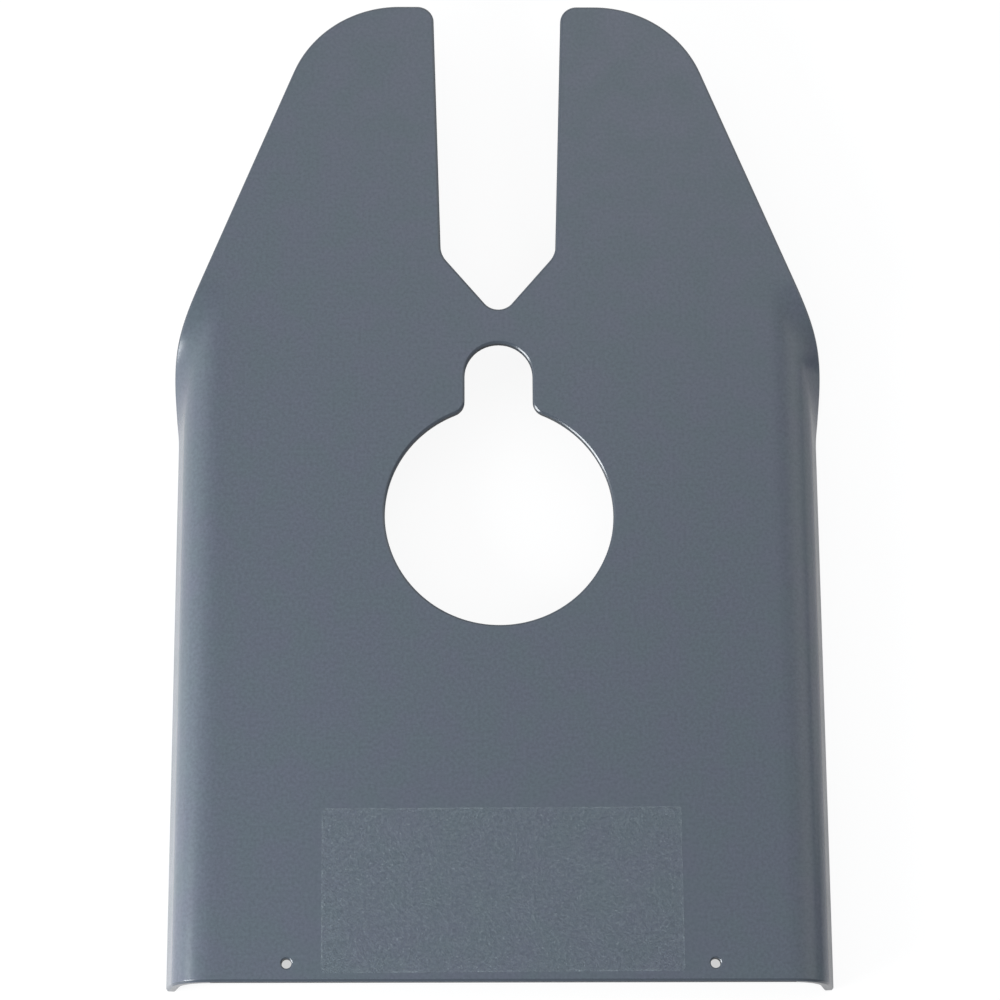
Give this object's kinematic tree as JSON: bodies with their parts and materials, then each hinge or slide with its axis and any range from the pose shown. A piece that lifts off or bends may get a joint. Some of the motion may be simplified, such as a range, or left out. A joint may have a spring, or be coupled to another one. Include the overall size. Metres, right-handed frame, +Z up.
{
  "type": "outboard hydrofoil",
  "caption": "Flat bolt-on foil plate with forward horns, an open slot with a V end, a keyhole opening and sides rolled down into flanges.",
  "frame": {"origin": "centre of the round opening, on the plate's top face", "axes": "+Y forward along the plate's length, +X to starboard, +Z up out of the top face"},
  "size_m": [0.3258, 0.505, 0.0313],
  "materials": {
    "coated_plate": "satin blue-grey powder coat",
    "clear_film": "clear self-adhesive film, bare"
  },
  "bodies": {
    "root": {"foil_plate": "coated_plate", "label_film": "clear_film"}
  },
  "joints": []
}
